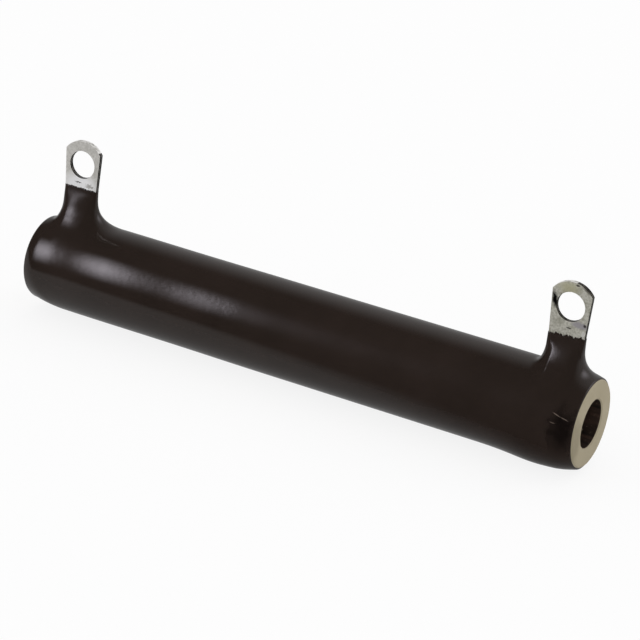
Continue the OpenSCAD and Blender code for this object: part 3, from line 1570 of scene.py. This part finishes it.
@dataclass(frozen=True)
class Softbox:
    """A lamp with a cloth face that looks at the part and is brightest in its middle."""

    name: str
    azimuth: float
    elevation: float
    spread_width: float
    spread_height: float
    peak: float
    colour: str = "#fbf5ff"
    distance: float = 2.0
    # Half the cloth in spreads, past which the glow is cut off
    cut: float = 2.0
    bend_steps: int = 32

    def place(self) -> None:
        """Makes the lamp, bent round the tube's axis with its long side across the tube.

        Its azimuth turns from the front towards the left.
        """
        level = self.distance * math.cos(self.elevation)
        middle = Vector(
            (
                -math.sin(self.azimuth) * level,
                -math.cos(self.azimuth) * level,
                self.distance * math.sin(self.elevation),
            )
        )
        radius = math.hypot(middle.y, middle.z)
        half_width = self.cut * self.distance * math.tan(self.spread_width) * self.distance / radius
        half_turn = self.cut * self.distance * math.tan(self.spread_height) / radius
        bpy.ops.object.select_all(action="DESELECT")
        # A flat grid from -1 to 1 both ways, bent below
        bpy.ops.mesh.primitive_grid_add(x_subdivisions=2, y_subdivisions=self.bend_steps, size=2)
        face = Workpiece(self.name)
        face.leave()
        across, up, _ = face.points().T
        turn = math.atan2(middle.z, -middle.y) + up * half_turn
        bent = (middle.x + across * half_width, -radius * np.cos(turn), radius * np.sin(turn))
        face.move_points(np.stack(bent, axis=1))
        face.obj.visible_camera = False
        face.obj.visible_shadow = False
        face.obj.data.materials.append(self._cloth())

    def _cloth(self) -> Material:
        """Makes the glowing cloth, which fades from its middle to its edges.

        Returns:
            The cloth's material.
        """
        made = stage_material(f"{self.name}_cloth")
        tree = made.node_tree
        place = add_node(tree, "ShaderNodeTexCoord").outputs["UV"]
        # From 0 at one edge and 1 at the other to -1 and 1
        off = add_node(
            tree,
            "ShaderNodeVectorMath",
            {0: place, 1: (2, 2, 0), 2: (-1, -1, 0)},
            operation="MULTIPLY_ADD",
        ).outputs[0]
        square = add_node(tree, "ShaderNodeVectorMath", {0: off, 1: off}, operation="DOT_PRODUCT")
        power = add_node(
            tree,
            "ShaderNodeMath",
            {0: square.outputs["Value"], 1: -self.cut**2 / 2},
            operation="MULTIPLY",
        )
        bell = add_node(
            tree, "ShaderNodeMath", {0: math.e, 1: power.outputs[0]}, operation="POWER"
        )
        edge = math.exp(-(self.cut**2) / 2)
        strength = add_node(
            tree,
            "ShaderNodeMapRange",
            {"Value": bell.outputs[0], "From Min": edge, "From Max": 1.0, "To Max": self.peak},
        )
        glow = add_node(
            tree,
            "ShaderNodeEmission",
            {"Color": linear(self.colour), "Strength": strength.outputs["Result"]},
        )
        clear = add_node(tree, "ShaderNodeBsdfTransparent")
        both = add_node(tree, "ShaderNodeAddShader", {0: glow.outputs[0], 1: clear.outputs[0]})
        set_inputs(tree, tree.nodes["Material Output"], {"Surface": both.outputs[0]})
        return made


@dataclass(frozen=True)
class Scrim:
    """A cloth that only reflections see, and that goes from dark to grey along an axis."""

    name: str
    axis: Triple
    dark_to: float
    grey_from: float
    level: float = 0.36

    def hang(self, sheet: Object) -> None:
        """Gives a sheet the cloth and lets only reflections see it.

        Args:
            sheet: The sheet, in its place.
        """
        sheet.name = self.name
        made = stage_material(f"{self.name}_cloth")
        made.cycles.emission_sampling = "NONE"
        tree = made.node_tree
        place = add_node(tree, "ShaderNodeTexCoord").outputs["Object"]
        reach = add_node(
            tree, "ShaderNodeVectorMath", {0: place, 1: self.axis}, operation="DOT_PRODUCT"
        )
        strength = add_node(
            tree,
            "ShaderNodeMapRange",
            {
                "Value": reach.outputs["Value"],
                "From Min": self.dark_to,
                "From Max": self.grey_from,
                "To Max": self.level,
            },
            interpolation_type="SMOOTHSTEP",
        )
        glow = add_node(
            tree, "ShaderNodeEmission", {"Color": WHITE, "Strength": strength.outputs["Result"]}
        )
        set_inputs(tree, tree.nodes["Material Output"], {"Surface": glow.outputs[0]})
        sheet.data.materials.append(made)
        sheet.visible_camera = False
        sheet.visible_diffuse = False
        sheet.visible_shadow = False
        sheet.visible_transmission = False


@dataclass
class Studio:
    """The stage: a white floor and surround, soft lamps, and grey scrims that reflections see."""

    lamps: tuple[Softbox, ...]
    floor_z: float
    floor_size: float = 8.0
    floor_colour: str = "#f4f4f4"
    floor_glow: float = 0.86
    surround: float = 0.9
    tent_radius: float = 3.5
    tent_segments: int = 48
    tent_rings: int = 24
    # Axis of the tent's cloth in radii, and how far along it the cloth is dark and then grey
    tent_axis: Triple = (0.41, 0.91, 0)
    tent_fade: Pair = (0.02, 0.55)
    mat_gap: float = 0.02 * MM
    # The same for the mat's cloth, in millimetres
    mat_axis: Triple = (-0.28 / MM, 1 / MM, 0)
    mat_fade: Pair = (-25.0, -11.0)

    def build(self) -> None:
        """Sets the stage and lights it."""
        for lamp in self.lamps:
            lamp.place()
        self._world()
        self._floor()
        self._tent()
        self._mat()
        bpy.context.scene.view_settings.view_transform = "Standard"

    def _seen(self, tree: NodeTree) -> NodeSocket:
        """Finds out which rays come from the lens, a reflection or glass.

        Args:
            tree: Node tree of the world or of a material.

        Returns:
            Socket with 1 for such a ray and 0 for any other.
        """
        path = add_node(tree, "ShaderNodeLightPath")
        seen = path.outputs["Is Camera Ray"]
        for kind in ("Is Glossy Ray", "Is Transmission Ray"):
            both = {0: seen, 1: path.outputs[kind]}
            seen = add_node(tree, "ShaderNodeMath", both, operation="MAXIMUM").outputs[0]
        return seen

    def _world(self) -> None:
        """Surrounds the stage with white, which lights the part at a plain level."""
        world = bpy.data.worlds.new("white_surround")
        world.use_nodes = True
        tree = world.node_tree
        strength = add_node(
            tree,
            "ShaderNodeMapRange",
            {"Value": self._seen(tree), "To Min": self.surround, "To Max": 1.0},
        )
        set_inputs(
            tree,
            tree.nodes["Background"],
            {"Color": WHITE, "Strength": strength.outputs["Result"]},
        )
        bpy.context.scene.world = world

    def _floor(self) -> None:
        """Lays a white floor that glows for the lens and still takes a soft shadow."""
        bpy.ops.object.select_all(action="DESELECT")
        bpy.ops.mesh.primitive_plane_add(size=self.floor_size, location=(0, 0, self.floor_z))
        floor = bpy.context.object
        floor.name = "floor"
        made = stage_material("white_floor")
        tree = made.node_tree
        matt = add_node(tree, "ShaderNodeBsdfDiffuse", {"Color": linear(self.floor_colour)})
        glow = add_node(tree, "ShaderNodeEmission", {"Color": WHITE, "Strength": 1.0})
        share = add_node(
            tree, "ShaderNodeMath", {0: self._seen(tree), 1: self.floor_glow}, operation="MULTIPLY"
        )
        both = add_node(
            tree,
            "ShaderNodeMixShader",
            {0: share.outputs[0], 1: matt.outputs[0], 2: glow.outputs[0]},
        )
        set_inputs(tree, tree.nodes["Material Output"], {"Surface": both.outputs[0]})
        floor.data.materials.append(made)

    def _tent(self) -> None:
        """Hangs a tent over the stage: grey behind the part, dark overhead and in front."""
        bpy.ops.object.select_all(action="DESELECT")
        bpy.ops.mesh.primitive_uv_sphere_add(
            segments=self.tent_segments, ring_count=self.tent_rings, radius=self.tent_radius
        )
        axis = tuple(part / self.tent_radius for part in self.tent_axis)
        Scrim("grey_tent", axis, *self.tent_fade).hang(bpy.context.object)

    def _mat(self) -> None:
        """Lays a mat on the floor: grey under the part, dark in front of a slanting line."""
        bpy.ops.object.select_all(action="DESELECT")
        bpy.ops.mesh.primitive_plane_add(
            size=self.floor_size, location=(0, 0, self.floor_z + self.mat_gap)
        )
        Scrim("grey_mat", self.mat_axis, *self.mat_fade).hang(bpy.context.object)


def dress_wire(finish: Finish) -> None:
    """Gives the kept winding its finish.

    Args:
        finish: The wire's finish.
    """
    wire = frame["nodes"]["resistance_wire"]
    wire.data.materials.clear()
    wire.data.materials.append(finish.material())
    log.info("resistance_wire: kept, with a new finish")


def ceramic_core() -> CeramicCore:
    """Describes the tube, with a painted shade, a darker patch, on the front of its right end.

    Returns:
        The tube, ready to be built.
    """
    # Painted shade: a darker patch on the front of the right end's face
    painted_shade = Mark(
        (HALF_LENGTH, *mm(-6.2, -1.2)),
        mm(3.0, 5.5, 1),
        turn_to((0, 1, 0), (1, 0, 0)),
        "#8a816b",
        0.7,
        ragged=1.0 * MM,
    )
    return CeramicCore(UnglazedCeramic(marks=(painted_shade,)), BoreGlaze())


def enamel_coat() -> EnamelCoat:
    """Describes the enamel, with its necks, its swellings, the scratches that wear has left on it
    and a painted dark reflection near its right end.

    Returns:
        The coat, ready to be built.
    """
    left_neck = Neck(
        Side.LEFT,
        top=14.0 * MM,
        front_fillet=4.4 * MM,
        side_fillets=mm(2.0, 4.6),
        crown_shift=-1.4 * MM,
        crown_r=30 * MM,
        lip_tilt=0.0,
        lip_jag=0.08 * MM,
        taper=0.16,
    )
    right_neck = Neck(
        Side.RIGHT,
        top=13.35 * MM,
        front_fillet=4.4 * MM,
        side_fillets=mm(2.0, 2.6),
        crown_shift=3 * MM,
        crown_r=42 * MM,
        lip_tilt=0.06,
        lip_jag=0.2 * MM,
        taper=0.22,
    )
    # Places along the tube in millimetres, each with the slope of the front there
    slopes = (
        (-48.4, -0.008), (-47.6, -0.015), (-46.8, -0.017), (-46.1, -0.012), (-45.3, -0.001),
        (-44.5, 0.007), (-43.7, 0.012), (-42.4, 0.019), (-41.5, 0.017), (-40.4, 0.012),
        (-38.7, 0.005), (-35.6, 0.0), (-34.1, -0.009), (-30.8, -0.013), (-27.9, -0.017),
        (-24, -0.0155), (-20.1, -0.0045), (-16.3, 0.003), (-10.8, 0.006), (-8, 0.0),
    )
    front_roll = Roll(
        tuple((x * MM, slope) for x, slope in slopes), LIT_ANGLE, half_angle=math.radians(60)
    )
    band_swell = Swell(
        x=43.6 * MM,
        half_length=3.5 * MM,
        height=0.46 * MM,
        angle=math.radians(-75),
        half_angle=math.radians(60),
    )
    # A painted dark reflection: darker enamel on the front of the right end
    painted_dark_reflection = Mark(
        mm(48.9, -7.6, 0.9),
        mm(3.3, 5.4, 3.0),
        turn_to((1, 0, 0), (0.1, -1, 0.1)),
        "#0e0a09",
        0.85,
        ragged=3.2 * MM,
        grain=Grain(1.6 * MM),
        core=0.15,
    )
    # Middle, half size, direction, colour and strength of each scratch
    scratches = (
        (mm(47.6, -7.55, 3.25), mm(0.95, 0.11, 1), (1.3, -0.15, -0.37), "#75695f", 0.8),
        (mm(49.0, -7.55, 2.9), mm(0.95, 0.1, 1), (1.45, -0.1, -0.35), "#75695f", 0.7),
        (mm(47.3, -7.95, 1.95), mm(0.6, 0.1, 1), (1.0, 0.0, -0.1), "#6a5f56", 0.6),
    )
    right_front = (0.15, -1.0, 0.25)
    scratched = (
        Mark(at, half, turn_to(along, right_front), colour, strength, ragged=0.12 * MM)
        for at, half, along, colour, strength in scratches
    )
    finish = VitreousEnamel(marks=(painted_dark_reflection, *scratched))
    return EnamelCoat((left_neck, right_neck), (front_roll, band_swell), finish)


def lug_stain(
    at: Pair,
    half_size: Triple,
    colour: str,
    strength: float = 1.0,
    ragged: float = 0.0,
    grain: float = 1.0,
    lean: float = 0.0,
    core: float = 0.4,
) -> Mark:
    """Describes a stain or a painted shade on the front of a lug, with its lengths in millimetres.

    Args:
        at: Its middle along the tube and its height.
        half_size: Half its length, height and depth.
        colour: Its colour.
        strength: Weight of the colour in its core.
        ragged: How far its edge strays.
        grain: Size of the steps in its edge.
        lean: Rise of its length over its run.
        core: Share of its size from which it fades.

    Returns:
        The stain.
    """
    return Mark(
        (at[0] * MM, LUG_MARK_Y, at[1] * MM),
        mm(*half_size),
        turn_to((1, 0, lean), (0, -1, 0)),
        colour,
        strength,
        ragged * MM,
        Grain(grain * MM),
        core,
    )


def lug_terminals() -> tuple[LugTerminal, LugTerminal]:
    """Describes the two terminals, the right one the more stained and with a painted shade along its
    tip's right rim.

    Returns:
        The left and the right terminal, ready to be built.
    """
    left_stains = (
        lug_stain((-44.7, 14.4), (4.8, 3.0, 1), "#ffffff", core=0.3),
        lug_stain((-45.2, 14.9), (0.85, 0.2, 0.3), "#2b2623", 0.9, ragged=0.7, grain=0.3),
        lug_stain((-43.0, 14.6), (1.1, 0.5, 0.3), "#8f8b84", 0.7, ragged=1.2, grain=0.3),
    )
    right_stains_and_shade = (
        lug_stain((44.0, 21.0), (2.6, 1.6, 1), "#c9c5a0", 0.7, ragged=0.8, grain=0.9, core=0.2),
        lug_stain((46.7, 15.5), (1.9, 0.75, 0.5), "#a9a4ab", 0.8, ragged=0.5, grain=0.6),
        lug_stain((42.0, 18.6), (0.62, 1.75, 0.5), "#0c0a09", ragged=0.7, grain=0.5, lean=0.3),
        lug_stain((45.4, 21.75), (0.5, 0.2, 0.3), "#2a2521", 0.9, ragged=0.3, grain=0.3),
        # Painted shade along the right rim of the tip
        lug_stain((47.2, 21.3), (1.5, 0.45, 0.5), "#4a453f", 0.75, ragged=0.5, grain=0.4, lean=-0.6),
        lug_stain((47.45, 15.6), (0.32, 0.36, 0.3), "#2c2825", 0.9, ragged=0.2, grain=0.3),
        lug_stain((44.9, 14.6), (0.62, 0.15, 0.3), "#1f1b18", 0.95, ragged=0.25, grain=0.3),
        lug_stain((47.4, 14.2), (0.45, 0.8, 0.3), "#f4f3ee", 0.6, ragged=0.3, grain=0.4),
    )
    left_finish = TinnedStrip("tinned_strip_left", marks=left_stains)
    right_finish = TinnedStrip(
        "tinned_strip_right", "#aeac9c", "#dad8cc", metal=0.42, marks=right_stains_and_shade
    )
    return (
        LugTerminal(Side.LEFT, left_finish),
        LugTerminal(Side.RIGHT, right_finish, rubbed_to=0.6 * MM),
    )


def softboxes() -> tuple[Softbox, Softbox]:
    """Describes the lamps.

    Returns:
        The narrow key lamp at the front left and the wide rim lamp at the back right.
    """
    key = Softbox(
        "key_softbox",
        azimuth=math.radians(34.2),
        elevation=math.radians(29),
        spread_width=math.radians(1.2),
        spread_height=math.radians(14),
        peak=9.2,
    )
    rim = Softbox(
        "rim_softbox",
        azimuth=math.radians(-130),
        elevation=math.radians(31),
        spread_width=math.radians(12),
        spread_height=math.radians(12),
        peak=1.5,
    )
    return key, rim


def main() -> None:
    """Builds and dresses the part, sets the stage and the camera, and logs each piece's points and
    faces.
    """
    logging.basicConfig(level=logging.INFO, format="%(message)s")

    core = ceramic_core()
    tube = core.build()
    core.dress(tube)
    tube.hand_in("ceramic_core", "core_ceramic")

    # The tip's edges get a painted highlight
    sheared, tip_highlight = ShearedEdge().material(), RubbedEdge().material()
    for terminal in lug_terminals():
        strip = terminal.build()
        terminal.dress(strip, sheared, tip_highlight)
        strip.hand_in(f"terminal_{terminal.side.label}", "tinned_strip")

    coat = enamel_coat()
    body = coat.build()
    coat.dress(body)
    body.hand_in("enamel_coat", "enamel")

    dress_wire(DrawnNichrome())

    Studio(softboxes(), floor_z=CAD_BOX[0].z).build()
    PhotoCamera().place()


if __name__ == "__main__":
    main()
